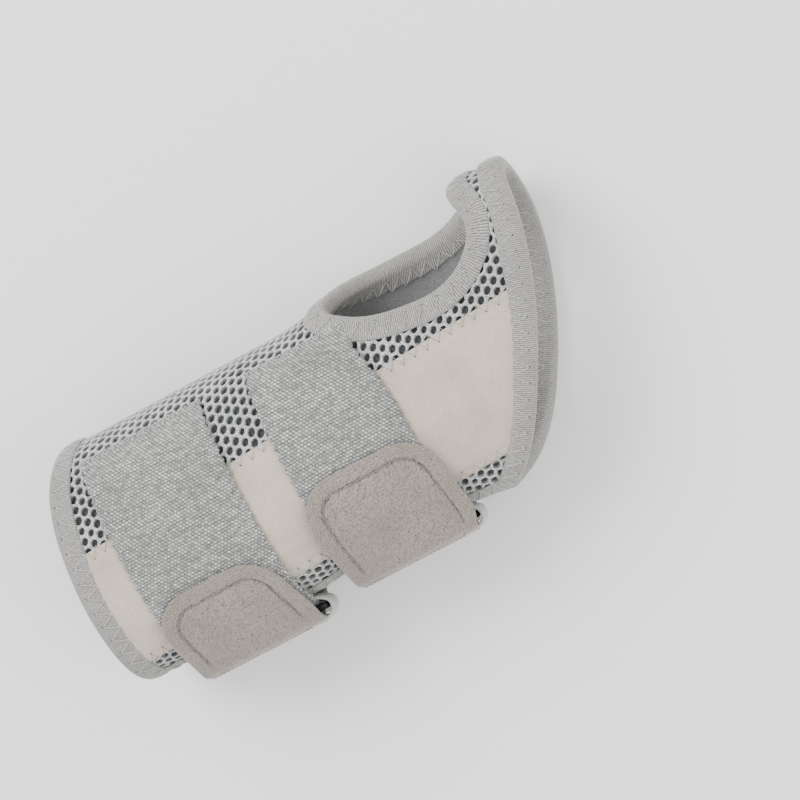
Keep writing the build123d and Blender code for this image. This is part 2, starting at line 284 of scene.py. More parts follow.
def thumb_loop():
    """The thumb opening's edge, found outwards from its middle."""
    outline = curve(THUMB_EDGE, closed=True)
    middle_x, middle_s = THUMB_MIDDLE[0], float(s_at(*THUMB_MIDDLE))
    turn = np.linspace(0, 2 * np.pi, 361)[:-1]

    def at_reach(reach):
        return middle_x + reach * np.cos(turn), middle_s + reach * np.sin(turn)

    def still_inside(reach):
        p = place(*at_reach(reach))
        slanted_y = p[..., 1] - THUMB_SLANT * (THUMB_LEVEL - p[..., 2])
        return in_loop(outline, p[..., 0], slanted_y).astype(float) - 0.5

    reach = solve(still_inside, 0 * turn, THUMB_REACH + 0 * turn)
    return blur(even(np.stack(at_reach(reach), axis=1), 0.8, closed=True), 1.6)


OUTER_LOOP = perimeter()
THUMB_LOOP = thumb_loop()


def distance_to(loop, x, s):
    """Distance from each (x, s) to a loop."""
    flat = np.stack([np.ravel(x), np.ravel(s)], axis=1)
    best = np.empty(len(flat))
    for i in range(0, len(flat), 4000):
        d = flat[i:i + 4000, None] - loop
        best[i:i + 4000] = np.sqrt((d ** 2).sum(axis=2).min(axis=1))
    return best.reshape(np.shape(x))


# ---- mesh helpers ----
def into_scene(name, data):
    """A new object in the scene, made of a mesh, a lamp's data or a camera's."""
    thing = bpy.data.objects.new(name, data)
    bpy.context.scene.collection.objects.link(thing)
    return thing


def new_object(name, points, faces, material, relief=None):
    """A mesh object from points in millimetres; relief becomes the point attribute that materials read."""
    mesh = bpy.data.meshes.new(name)
    faces = faces if isinstance(faces, list) else faces.tolist()
    mesh.from_pydata((np.reshape(points, (-1, 3)) * MM).tolist(), [], faces)
    mesh.validate()
    if relief is not None:
        attribute = mesh.attributes.new("relief", "FLOAT", "POINT")
        attribute.data.foreach_set("value", np.ravel(relief).astype(np.float32))
    mesh.materials.append(material)
    mesh.polygons.foreach_set("use_smooth", [True] * len(mesh.polygons))
    return into_scene(name, mesh)


def grid_faces(rows, columns, start=0, wrap_rows=False, wrap_columns=False, flip=False):
    """The four-sided faces of a grid of points whose first point is number start."""
    r = np.arange(rows if wrap_rows else rows - 1)
    c = np.arange(columns if wrap_columns else columns - 1)
    r, c = np.meshgrid(r, c, indexing="ij")
    r1, c1 = (r + 1) % rows, (c + 1) % columns
    quads = np.stack([r * columns + c, r * columns + c1, r1 * columns + c1, r1 * columns + c], axis=-1)
    quads = quads.reshape(-1, 4)
    return (quads[:, ::-1] if flip else quads) + start


def slab(name, top, bottom, material, relief=None):
    """A closed sheet from two matching grids of points, rows by columns."""
    rows, columns = top.shape[:2]
    n = rows * columns
    faces = [grid_faces(rows, columns, flip=True), grid_faces(rows, columns, start=n)]
    rim = np.concatenate([np.arange(columns), np.arange(1, rows) * columns + columns - 1,
                          (rows - 1) * columns + np.arange(columns - 2, -1, -1),
                          np.arange(rows - 2, 0, -1) * columns])
    after = np.roll(rim, -1)
    faces.append(np.stack([rim, after, after + n, rim + n], axis=1))
    if relief is not None:
        relief = [relief, np.zeros((rows, columns))]
    return new_object(name, [top, bottom], np.concatenate(faces), material, relief)


def tubes(name, paths, radius, material, sides=6):
    """Round threads along several short paths, each closed at its ends, in one mesh."""
    points, faces, start = [], [], 0
    turn = np.linspace(0, 2 * np.pi, sides + 1)[:-1, None]
    for path in paths:
        path = np.asarray(path, float)
        along = np.gradient(path, axis=0)
        along /= np.linalg.norm(along, axis=1)[:, None] + 1e-9
        side = np.cross(along, [0.13, 0.2, 0.97])
        side /= np.linalg.norm(side, axis=1)[:, None] + 1e-9
        other = np.cross(side, along)
        thick = np.full(len(path), radius)
        thick[[0, -1]] *= 0.35
        circle = np.cos(turn) * side[:, None] + np.sin(turn) * other[:, None]
        ring = path[:, None] + thick[:, None, None] * circle
        points.append(ring.reshape(-1, 3))
        faces += grid_faces(len(path), sides, start=start, wrap_columns=True).tolist()
        faces.append([start + k for k in range(sides)])
        faces.append([start + (len(path) - 1) * sides + k for k in range(sides - 1, -1, -1)])
        start += len(path) * sides
    return new_object(name, np.concatenate(points), faces, material)


LEG = np.linspace(0, 1, 6)


def legs_between(xs, turns):
    """For each leg of a zigzag, x and how far across it is, at six points."""
    for k in range(len(xs) - 1):
        yield xs[k] + (xs[k + 1] - xs[k]) * LEG, turns[k] + (turns[k + 1] - turns[k]) * LEG


def sewn(name, paths, radius, material, sides=6):
    """Thread, or its holes, that stays with the sleeve."""
    piece = tubes(name, paths, radius, material, sides)
    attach(piece, "sleeve")
    return piece


# ---- materials ----
def rgb(r, g, b):
    """An sRGB colour, 0 to 255, as linear numbers."""
    linear = [((v / 255 + 0.055) / 1.055) ** 2.4 if v > 10 else v / 255 / 12.92 for v in (r, g, b)]
    return (*linear, 1.0)


def scaled(colour, factor):
    """A colour made darker or lighter, at most full."""
    return tuple(min(1.0, factor * v) for v in colour[:3]) + (1.0,)


def set_inputs(node, **inputs):
    """Set a node's inputs, each to a number, a colour or another node's output."""
    for key, value in inputs.items():
        socket = node.inputs[key.replace("_", " ")]
        if hasattr(value, "is_output"):
            node.id_data.links.new(value, socket)
        else:
            socket.default_value = value


class Nodes:
    """A new material and the few kinds of node that the cloth and the solid share."""

    def __init__(self, name, stretch=(1, 1, 1)):
        self.material = bpy.data.materials.new(name)
        self.material.use_nodes = True
        self.shader = self.material.node_tree.nodes["Principled BSDF"]
        self.vector = self.add("Mapping", "Vector", Vector=self.add("TexCoord", "Object"), Scale=stretch)

    def add(self, kind, output, **inputs):
        node = self.material.node_tree.nodes.new(f"ShaderNode{kind}")
        if kind == "Mix":
            node.data_type = "RGBA"
        if kind == "Attribute":
            node.attribute_name = "relief"
        set_inputs(node, **inputs)
        return node.outputs[output]

    def noise(self, size_mm, detail):
        return self.add("TexNoise", "Fac", Vector=self.vector, Scale=1.0 / (size_mm * MM), Detail=detail)

    def ramp(self, value, low, high, to_low=0.0, to_high=1.0):
        return self.add("MapRange", "Result", Value=value, From_Min=low, From_Max=high,
                        To_Min=to_low, To_Max=to_high)

    def mix(self, factor, a, b):
        return self.add("Mix", "Result", Factor=factor, A=a, B=b)

    def finish(self, colour, height, bump, depth_mm):
        normal = self.add("Bump", "Normal", Height=height, Strength=bump, Distance=depth_mm * MM)
        set_inputs(self.shader, Base_Color=colour, Normal=normal)
        return self.material


def cloth(name, light, dark, grain=0.5, bump=0.25, bump_depth=0.05, relief=None, blotch=0.12,
          painted_highlight=None, rough=0.9, sheen=0.2, contrast=(0.35, 0.7)):
    """Fibrous cloth: grain in mm, relief the range of the relief attribute that runs from painted shade in
    the low parts to the cloth's own colour; raised parts can also get a painted highlight.
    """
    nodes = Nodes(name)
    set_inputs(nodes.shader, Roughness=rough, Specular_IOR_Level=0.25, Sheen_Weight=sheen,
               Sheen_Roughness=0.6)
    fibre = nodes.noise(grain, 3)
    colour = nodes.mix(nodes.ramp(fibre, *contrast), dark, light)
    if relief:
        # painted shade: low parts of the relief darken towards a third of the dark colour
        raised = nodes.add("Attribute", "Fac")
        colour = nodes.mix(nodes.ramp(raised, *relief), scaled(dark, 0.34), colour)
    # painted highlight: the raised parts lighten up to 1.75 times the light colour
    if painted_highlight:
        colour = nodes.mix(nodes.ramp(raised, painted_highlight[0], painted_highlight[1], 0.0, painted_highlight[2]), colour, scaled(light, 1.75))
    patch = nodes.ramp(nodes.noise(14.0, 2), 0.62, 0.3, 0.0, blotch * 2.5)
    colour = nodes.mix(patch, colour, scaled(dark, 1 - blotch))
    return nodes.finish(colour, fibre, bump, bump_depth)


def solid(name, colour, rough, metallic=0.0, grain=0.3, bump=0.1, vary=0.15, stretch=(1, 1, 1)):
    """Moulded plastic or metal with a fine grain in colour, gloss and bump."""
    nodes = Nodes(name, stretch)
    speck = nodes.noise(grain, 4)
    gloss = nodes.ramp(speck, 0.0, 1.0, rough * 0.85, min(1.0, rough * 1.15))
    set_inputs(nodes.shader, Metallic=metallic, Roughness=gloss)
    colour = nodes.mix(speck, scaled(colour, 1 - vary), scaled(colour, 1 + vary))
    return nodes.finish(colour, speck, bump, 0.02)


# painted shade: the relief darkens the walls of the mesh's holes
AIR_MESH = cloth("air_mesh", rgb(204, 206, 205), rgb(106, 109, 108), grain=0.36, bump=0.7, bump_depth=0.12,
                 relief=(-1.0, 0.05), contrast=(0.36, 0.56))
SPACER = cloth("spacer_yarn", rgb(87, 89, 89), rgb(55, 58, 58), grain=0.35, bump=0.5)
LINING = cloth("lining_knit", rgb(133, 134, 133), rgb(104, 105, 104), grain=0.5, bump=0.4, sheen=0.3)
# painted shade between the tape's ribs, with random tone from the relief's noise
TAPE = cloth("binding_tape", rgb(190, 187, 182), rgb(118, 117, 113), grain=0.34, bump=0.4, blotch=0.08,
             relief=(-1.3, 0.75), contrast=(0.25, 0.6))
PANEL = cloth("panel_cloth", rgb(206, 193, 179), rgb(172, 160, 148), grain=0.32, bump=0.5, sheen=0.25,
              blotch=0.2, contrast=(0.3, 0.7))
# painted shade in the gaps between the elastic's loops and a painted highlight on their tops
ELASTIC = cloth("elastic_web", rgb(192, 193, 189), rgb(92, 94, 91), grain=0.3, bump=0.6, bump_depth=0.1,
                relief=(-1.0, 0.1), contrast=(0.3, 0.6), painted_highlight=(0.15, 0.9, 1.0))
# painted shade in the tab's sunk stitch line and the twill's furrows
TAB = cloth("tab_cloth", rgb(168, 157, 147), rgb(118, 109, 101), grain=0.26, bump=0.8, bump_depth=0.1,
            sheen=0.3, blotch=0.14, relief=(-1.9, 0.4), contrast=(0.3, 0.7))
# painted shade between the webbing's yarns
WEBBING = cloth("keeper_web", rgb(156, 157, 153), rgb(122, 123, 119), grain=0.4, bump=0.4, relief=(-1.4, 0.4))
SPUN = {"grain": 0.25, "bump": 0.3, "sheen": 0.1, "rough": 0.7}
THREAD = cloth("thread", rgb(196, 196, 193), rgb(166, 166, 163), **SPUN)
TAB_THREAD = cloth("tab_thread", rgb(158, 149, 141), rgb(126, 118, 111), **SPUN)
PANEL_THREAD = cloth("panel_thread", rgb(186, 179, 170), rgb(154, 147, 139), **SPUN)
# painted shade: the needle holes' dark colour stands in for the shade inside them
NEEDLE_HOLE_SHADE = cloth("needle_hole", rgb(69, 67, 64), rgb(46, 44, 42), grain=0.3)
# painted shade between the rim's ribs
RIM = cloth("fold_rim", rgb(206, 204, 199), rgb(176, 174, 169), grain=0.35, bump=0.4, relief=(-4.0, 1.0))
HOOKS = solid("hook_tape", rgb(133, 127, 120), 0.55, grain=0.8, bump=0.4)
RING = solid("ring_plastic", rgb(24, 25, 26), 0.5, grain=0.5, bump=0.25)
STAY = solid("stay_metal", rgb(200, 202, 205), 0.35, metallic=1.0, stretch=(0.05, 1, 1))
VINYL = solid("cap_vinyl", rgb(60, 60, 62), 0.5)


# ---- the mesh shell: real holes, over a dark spacer layer ----
def in_sleeve(x, s, margin):
    """True where (x, s) is on the sleeve and further than margin from its edges."""
    inside = in_loop(OUTER_LOOP, x, s) & ~in_loop(THUMB_LOOP, x, s)
    return inside & (distance_to(OUTER_LOOP, x, s) > margin) & (distance_to(THUMB_LOOP, x, s) > margin)


def panel_y(x, share):
    """Y across the palm panel, from its ulnar edge at 0 to its radial edge at 1."""
    ulnar = -25.1 + 0.045 * x
    radial = 10.6 + 0.07 * x
    return ulnar + (radial - ulnar) * share


HOLE_PITCH, HOLE_ROW = 2.75, 2.7
HOLE_TURN = math.radians(-35)
HOLE_RADII = (0.93, 1.13)
LATTICE_S, LATTICE_REACH = 50, 140     # s of the lattice's middle, and its rows each way from there
CELL_POINTS = 12                       # the corners and edge middles of a six-sided cell
CELL_RINGS = ((0.0, 0.0), (0.55, 0.06), (1.0, -0.22), (1.08, -1.3))    # share of the way to the hole, height


def lattice_to_form(u, v):
    """(x, s) of a place in the turned lattice of holes."""
    x = u * math.cos(HOLE_TURN) - v * math.sin(HOLE_TURN)
    s = u * math.sin(HOLE_TURN) + v * math.cos(HOLE_TURN) + LATTICE_S
    return x, s


def air_mesh():
    """The knitted shell: six-sided cells, each with a round hole that goes down to the spacer layer."""
    low_y = (HOLE_ROW ** 2 - HOLE_PITCH ** 2 / 4) / (2 * HOLE_ROW)
    top_y = (HOLE_ROW ** 2 + HOLE_PITCH ** 2 / 4) / (2 * HOLE_ROW)
    half = HOLE_PITCH / 2
    right_side = np.array([(half, -low_y), (half, low_y), (0, top_y)])
    corners = np.concatenate([right_side, -right_side])
    outer = np.stack([corners, (corners + np.roll(corners, -1, axis=0)) / 2], axis=1).reshape(-1, 2)
    bearing = np.arctan2(outer[:, 1], outer[:, 0])
    rim = np.stack([HOLE_RADII[0] * np.cos(bearing), HOLE_RADII[1] * np.sin(bearing)], axis=1)
    numbers = np.arange(-LATTICE_REACH, LATTICE_REACH)
    i, j = np.meshgrid(numbers, numbers, indexing="ij")
    u, v = (i + 0.5 * (j % 2)) * HOLE_PITCH, j * HOLE_ROW
    x, s = lattice_to_form(u, v)
    near = (np.abs(x) < 82) & (s > -60) & (s < 172)
    u, v, x, s = u[near], v[near], x[near], s[near]
    y = place(x, s)[:, 1]
    share = (y - panel_y(x, 0)) / (panel_y(x, 1) - panel_y(x, 0))
    under_panel = (share > 0.12) & (share < 0.88) & (np.abs(s) < 50)
    keep = in_sleeve(x, s, 2.4) & ~under_panel
    u, v = u[keep], v[keep]
    cells = len(u)
    size = 1 + 0.07 * rng.standard_normal(cells)
    rings = []
    for share, out in CELL_RINGS:
        shape = outer * (1 - share) + rim * size[:, None, None] * share
        height = np.full((cells, CELL_POINTS), out)
        rings.append((u[:, None] + shape[..., 0], v[:, None] + shape[..., 1], height))
    uu, vv, oo = (np.stack([ring[k] for ring in rings], axis=1) for k in range(3))
    xx, ss = lattice_to_form(uu, vv)
    lumps = 0.07 * np.sin(xx * 6.1 + 1.7 * np.sin(ss * 2.3)) * np.sin(ss * 5.3 + xx * 1.1)
    oo = oo + np.where(oo > -0.5, lumps, 0)
    per_cell = CELL_POINTS * len(CELL_RINGS)
    faces = []
    for first in range(0, per_cell - CELL_POINTS, CELL_POINTS):
        quad = grid_faces(2, CELL_POINTS, start=first, wrap_columns=True)
        faces.append((quad[None] + np.arange(cells)[:, None, None] * per_cell).reshape(-1, 4))
    # the relief given here is what paints shade on the hole walls
    piece = new_object("air_mesh_shell", place(xx, ss, oo), np.concatenate(faces), AIR_MESH,
                       np.clip(oo * 3.0, -1, 1))
    work = bmesh.new()
    work.from_mesh(piece.data)
    bmesh.ops.remove_doubles(work, verts=work.verts, dist=0.02 * MM)
    work.to_mesh(piece.data)
    work.free()
    return piece


def masked_slab(name, step, margin, low, high, material):
    """A closed layer over the whole sleeve, its stepped edge hidden inside the bindings."""
    xs, ss = np.arange(-80, 80, step), np.arange(-58, 172, step)
    x, s = np.meshgrid(xs, ss, indexing="ij")
    keep = in_sleeve(x, s, margin)
    cell = keep[:-1, :-1] & keep[1:, :-1] & keep[:-1, 1:] & keep[1:, 1:]
    columns = x.shape[1]
    n = x.size
    i, j = np.nonzero(cell)
    corner = i * columns + j
    quads = np.stack([corner, corner + columns, corner + columns + 1, corner + 1], axis=1)
    edges = {}
    for quad in quads.tolist():
        for a, b in zip(quad, quad[1:] + quad[:1]):
            if (b, a) in edges:
                del edges[b, a]
            else:
                edges[a, b] = True
    rim = np.array([(b, a, a + n, b + n) for a, b in edges])
    points = np.stack([place(x, s, high), place(x, s, low)]).reshape(-1, 3)
    faces = np.concatenate([quads, quads[:, ::-1] + n, rim])
    used, faces = np.unique(faces, return_inverse=True)
    return new_object(name, points[used], faces.reshape(-1, 4), material)


shell = air_mesh()
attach(shell, "sleeve")
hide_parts("mesh_shell")

core = masked_slab("spacer_core", 1.6, 2.2, -2.3, -1.25, SPACER)
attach(core, "sleeve")

lining = masked_slab("lining_knit", 1.6, 2.2, -3.15, -2.45, LINING)
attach(lining, "sleeve")
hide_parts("lining")


# ---- bindings: a ribbed tape folded over each edge, and its zigzag thread ----
RIB = 0.55
TAPE_FACE = [(6.7, 0.0), (6.76, 0.26), (6.5, 0.52), (5.5, 0.7), (4.0, 0.84), (2.3, 0.88), (1.0, 0.7),
             (0.35, 0.25)]
TAPE_BACK = [(0.0, -0.5), (-0.1, -1.6), (0.0, -2.7), (0.4, -3.45), (1.2, -3.8), (3.5, -3.9), (5.6, -3.85),
             (6.2, -3.6), (6.25, -3.3)]
TAPE_INSIDE = [(5.2, -3.25), (1.4, -3.2), (1.4, 0.15), (5.2, 0.15)]
ZIGZAG_PITCH = 4.4
ZIGZAG_NEAR, ZIGZAG_FAR = 2.3, 6.75    # how far in from the edge the zigzag turns
ZIGZAG_BACK_LEVEL = -3.98
ON_TAPE_BACK = 6.25                    # the tape's back ends this far in


def face_level(d):
    """Height of the tape's face at the distance d in from the edge."""
    face = np.array(TAPE_FACE)[::-1]
    return np.interp(d, face[:, 0], face[:, 1])


def inward(loop, hole):
    """Unit vectors across a closed edge, pointing onto the fabric; hole says that it goes round one."""
    along = np.roll(loop, -1, axis=0) - np.roll(loop, 1, axis=0)
    along /= np.linalg.norm(along, axis=1)[:, None]
    side = np.stack([-along[:, 1], along[:, 0]], axis=1)
    probe = loop + side
    onto = in_loop(loop, probe[:, 0], probe[:, 1])
    points_in = onto.mean() > 0.5
    return side if points_in != hole else -side


def binding(name, loop, hole, node):
    """The tape swept round an edge, four points of the edge to each rib."""
    line = even(loop, RIB / 4, closed=True)
    line = line[:len(line) // 4 * 4]
    across = blur(inward(line, hole), 12)
    across /= np.linalg.norm(across, axis=1)[:, None]
    count = len(line)
    number = np.arange(count)[:, None]
    rib = np.cos(number * np.pi / 2 + 0.35 * np.sin(number * 0.013))
    pucker = 0.10 * np.sin(number * 2 * np.pi * RIB / 4 / ZIGZAG_PITCH)
    profile = np.array(TAPE_FACE + TAPE_BACK + TAPE_INSIDE)
    outer = (np.arange(len(profile)) < len(TAPE_FACE + TAPE_BACK) - 1).astype(float)
    strength = outer * np.clip(1.2 - np.abs(profile[:, 0] - 1.5) / 6, 0.5, 1.0)
    normal_out = np.where(profile[:, 1] > -0.3, 1.0, np.where(profile[:, 1] < -3.0, -1.0, 0.0))
    ripple = 0.10 * rib * strength
    d = profile[:, 0] - np.where(np.abs(normal_out) < 0.5, ripple, 0)
    out = profile[:, 1] + (ripple + pucker * outer * (profile[:, 0] > 1.2)) * normal_out
    x = line[:, 0, None] + across[:, 0, None] * d
    s = line[:, 1, None] + across[:, 1, None] * d
    # this relief paints shade between the ribs, plus random tone from the noise
    relief = rib * outer + 0.15 * rng.standard_normal((count, len(profile)))
    faces = grid_faces(count, len(profile), wrap_rows=True, wrap_columns=True)
    piece = new_object(name, place(x, s, out), faces, TAPE, relief)
    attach(piece, "sleeve")
    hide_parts(node)


def zigzag(name, loop, hole):
    """The zigzag thread that sews a binding down, on the outside and the inside."""
    line = even(loop, ZIGZAG_PITCH / 2, closed=True)
    line = line[:len(line) // 2 * 2]
    across = inward(line, hole)
    paths = []
    count = len(line)
    jitter = rng.uniform(-0.25, 0.25, (count, 2))
    t = np.linspace(0, 1, 8)
    turns = (ZIGZAG_NEAR, ZIGZAG_FAR)
    for outside in (True, False):
        for k in range(count):
            after = (k + 1) % count
            first, last = turns[k % 2], turns[1 - k % 2]
            start = line[k] + across[k] * (first + jitter[k, 0])
            end = line[after] + across[after] * (last + jitter[after, 0])
            d = first + (last - first) * t
            x, s = (start[None] * (1 - t[:, None]) + end[None] * t[:, None]).T
            if outside:
                out = face_level(d) + 0.12 + 0.10 * np.sin(np.pi * t)
                out = np.where(d > BINDING_WIDTH, 0.14, out)
            else:
                out = ZIGZAG_BACK_LEVEL - 0.05 * np.sin(np.pi * t) + np.where(d > ON_TAPE_BACK, 0.55, 0)
            paths.append(place(x, s, out))
    sewn(name, paths, 0.13, THREAD)
    return line, across, jitter


def needle_holes(name, line, across, jitter):
    """Small dimples where the thread goes through the tape, coloured dark as painted shade."""
    level = float(face_level(ZIGZAG_NEAR))
    paths = []
    for k in range(0, len(line), 2):
        x, s = line[k] + across[k] * (ZIGZAG_NEAR + jitter[k, 0] - 0.12)
        paths.append(np.stack([place(x, s, level + rise) for rise in (-0.05, 0.045, 0.06)]))
    sewn(name, paths, 0.26, NEEDLE_HOLE_SHADE, sides=8)


binding("edge_binding_tape", OUTER_LOOP, False, "edge_binding")
binding("thumb_binding_tape", THUMB_LOOP, True, "thumb_binding")
needle_holes("edge_needle_holes", *zigzag("edge_zigzag", OUTER_LOOP, False))
needle_holes("thumb_needle_holes", *zigzag("thumb_zigzag", THUMB_LOOP, True))


# ---- palm panel: a suede-like pocket for the stay, sewn along both sides ----
PANEL_ROWS, PANEL_COLUMNS = 300, 84
SEAM_INSET, PANEL_PITCH = 2.1, 3.7
STAY_Y = -7.5
UNDER_STRAP = 1.42      # the panel's highest level, a little less where a strap presses it


def panel_end(edge, share, inset):
    """x where a line at one share across the panel meets a plan edge."""
    return meet_edge(edge, lambda x: panel_y(x, share), np.shape(share), 20) + inset


def palm_panel():
    """The panel: pressed down at its ends and seams, raised over the stay, and level under the straps."""
    share = np.linspace(0, 1, PANEL_COLUMNS)
    near, far = panel_end(PROXIMAL_EDGE, share, 3.6), panel_end(DISTAL_EDGE, share, -4.2)
    t = np.linspace(0, 1, PANEL_ROWS)[:, None]
    x = near * (1 - t) + far * t
    s = s_at(x, angle_at_y(x, panel_y(x, share)))
    width = panel_y(x, 1) - panel_y(x, 0)
    side = np.minimum(share, 1 - share) * width
    edge = distance_to(OUTER_LOOP, x, s)
    press = smooth((edge - 5.6) / 3.4)
    roll = 1 - (1 - np.clip(side / 1.3, 0, 1)) ** 2
    stay_half = 9 + 2.5 * smooth(x / 40)
    over_stay = smooth((stay_half + 4.5 - np.abs(panel_y(x, share) - STAY_Y)) / 3.0)
    over_stay = over_stay * smooth((47 - x) / 5) * smooth((x + 67) / 4)
    seam = 0.22 * np.exp(-((side - SEAM_INSET) / 0.7) ** 2)
    wave = 0.12 * np.sin(x * 0.31 + 1.3 * np.sin(share * 3)) * np.sin(share * 6.1 + x * 0.05)
    nap = 0.018 * rng.standard_normal(x.shape)
    relief = 0.42 * roll + 0.22 * smooth((side - 1.5) / 3) + 0.40 * over_stay - seam + wave * smooth(side / 5)
    top = 0.30 + press * relief + nap
    strap_press = np.zeros(x.shape)
    for node in ("lower_elastic_strap", "upper_elastic_strap"):
        low, high = box_mm(node)
        beside = smooth((x - low[0] + 1.5) / 1.5) * smooth((high[0] + 1.5 - x) / 1.5)
        strap_press = np.maximum(strap_press, beside)
    top = np.minimum(top, UNDER_STRAP - 0.12 * strap_press)
    piece = slab("palm_panel_cloth", place(x, s, top), place(x, s, 0.12), PANEL)
    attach(piece, "sleeve")
    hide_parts("palm_panel")


def panel_stitches():
    """Fine zigzag over both sides of the panel, with a needle hole at each inner turn."""
    legs, holes = [], []
    for side, sign in ((0.0, 1), (1.0, -1)):
        first, last = panel_end(PROXIMAL_EDGE, side, 7.0), panel_end(DISTAL_EDGE, side, -7.5)
        xs = np.arange(first, last, PANEL_PITCH / 2)
        jitter = rng.uniform(-0.2, 0.2, len(xs))
        insets = [sign * (SEAM_INSET if k % 2 else -0.55) + jitter[k] for k in range(len(xs))]
        for x, inset in legs_between(xs, insets):
            y = panel_y(x, side) + inset
            depth = (y - panel_y(x, side)) * sign
            beside = 0.35 + 0.5 * smooth((depth + 0.6) / 0.6)
            out = np.where(depth > 0, 0.86 + 0.06 * np.sin(np.pi * LEG), beside)
            legs.append(place(x, s_at(x, angle_at_y(x, y)), out))
        for k in range(1, len(xs) - 1, 2):
            y = panel_y(xs[k], side) + insets[k] + sign * 0.12
            s = s_at(xs[k], angle_at_y(xs[k], y))
            holes.append(np.stack([place(xs[k], s, level) for level in (0.5, 0.86, 0.9)]))
    sewn("panel_zigzag", legs, 0.075, PANEL_THREAD)
    # the needle holes here are painted shade too
    sewn("panel_needle_holes", holes, 0.2, NEEDLE_HOLE_SHADE, sides=8)


palm_panel()
panel_stitches()


# ---- straps ----
class Ribbon:
    """A strip across the hand: (x, e, off) with e along it from its first end and off above its middle."""

    SAMPLES = 500

    def __init__(self, x0, x1, path):
        self.xs = np.linspace(x0, x1, 9)
        lines = []
        lengths = []
        for x in self.xs:
            line = curve(path(x), per_span=24)
            steps = np.concatenate([[0], np.cumsum(np.hypot(*np.diff(line, axis=0).T))])
            at = np.linspace(0, steps[-1], self.SAMPLES)
            lines.append(np.stack([np.interp(at, steps, line[:, k]) for k in (0, 1)], axis=1))
            lengths.append(steps[-1])
        self.lines = np.array(lines)
        along = np.gradient(self.lines, axis=1)
        along /= np.linalg.norm(along, axis=2)[..., None]
        self.normals = np.stack([along[..., 1], -along[..., 0]], axis=-1)
        self.length = float(np.mean(lengths))

    def at(self, x, e, off=0.0):
        x, e, off = arrays(x, e, off)
        i = (x - self.xs[0]) / (self.xs[1] - self.xs[0])
        j = e / self.length * (self.SAMPLES - 1)
        yz = bilinear(self.lines, i, j) + bilinear(self.normals, i, j) * off[..., None]
        return np.concatenate([x[..., None], yz], axis=-1)


def round_bar(bar, radius, first, last, count):
    """Points (y, z) round a ring's bar, between two angles in degrees."""
    turn = np.radians(np.linspace(first, last, count))
    return np.stack([bar[0] + radius * np.cos(turn), bar[1] + radius * np.sin(turn)], axis=1)


def over_palm(x, y_first, z_last, mid, count):
    """Points (y, z) round the palm side of one section, mid(share) above it."""
    first = float(angle_at_y(x, y_first))
    last = float(angle_at_z(x, z_last))
    share = np.linspace(0, 1, count)
    return surface(x, first + (last - first) * share, mid(share))[:, 1:]


ELASTIC_THICK, ELASTIC_MID, ELASTIC_SEWN_MID = 0.9, 2.15, 0.62
ELASTIC_STEP = 0.253          # its mesh's step: as fine as the export leaves whole
FOLD_RADIUS = 1.8
TAB_LOW, TAB_TOP = 3.45, 4.6
TAB_ROOT_RADIUS = 3.1
TAB_CORNER = 11.0
HOOK_LOW, HOOK_TOP = 2.8, 3.4
STRAPS = {"lower": {"sewn_y": 28.0, "tip_y": -13.9, "bar": np.array([-37.3, BAR_Z]), "narrow": 0.5},
          "upper": {"sewn_y": 28.2, "tip_y": -5.4, "bar": np.array([-34.2, BAR_Z]), "narrow": 4.5}}


def elastic_path(sewn_y, bar):
    """From the sewn end over the palm and round the ring's bar."""
    def mid(share):
        return ELASTIC_SEWN_MID + (ELASTIC_MID - ELASTIC_SEWN_MID) * smooth((share - 0.02) / 0.16)
    return lambda x: np.concatenate([over_palm(x, sewn_y, 32.0, mid, 15),
                                     round_bar(bar, FOLD_RADIUS, 0, -172, 8)])


def tab_path(tip_y, bar):
    """From the tip over the palm, down past the ring's bar and in under it."""
    mid = (TAB_LOW + TAB_TOP) / 2
    return lambda x: np.concatenate([over_palm(x, tip_y, 37.0, lambda share: mid, 9),
                                     [bar + (-0.2, 6.8), bar + (-2.2, 4.3)],
                                     round_bar(bar, TAB_ROOT_RADIUS, 147, 206, 5)])


KNIT_ROW, KNIT_STITCH = 0.84, 1.06


def knit(along, across):
    """Height of the elastic's staggered loops, from -1 in the gaps to 1."""
    row = np.floor(along / KNIT_ROW)
    shift = 0.5 * (row % 2) + 0.05 * np.sin(row * 1.7)
    height = along / KNIT_ROW - row
    ridge = np.sin(np.pi * height) ** 0.8
    stitch = across / KNIT_STITCH + shift - 0.45 * (height - 0.5)
    loop = np.abs(np.sin(np.pi * stitch)) ** 0.9
    uneven = np.sin(row * 12.99 + np.floor(stitch) * 78.23) * 43758.5 % 1
    return 2 * ridge * loop * (0.5 + 0.5 * uneven) - 1


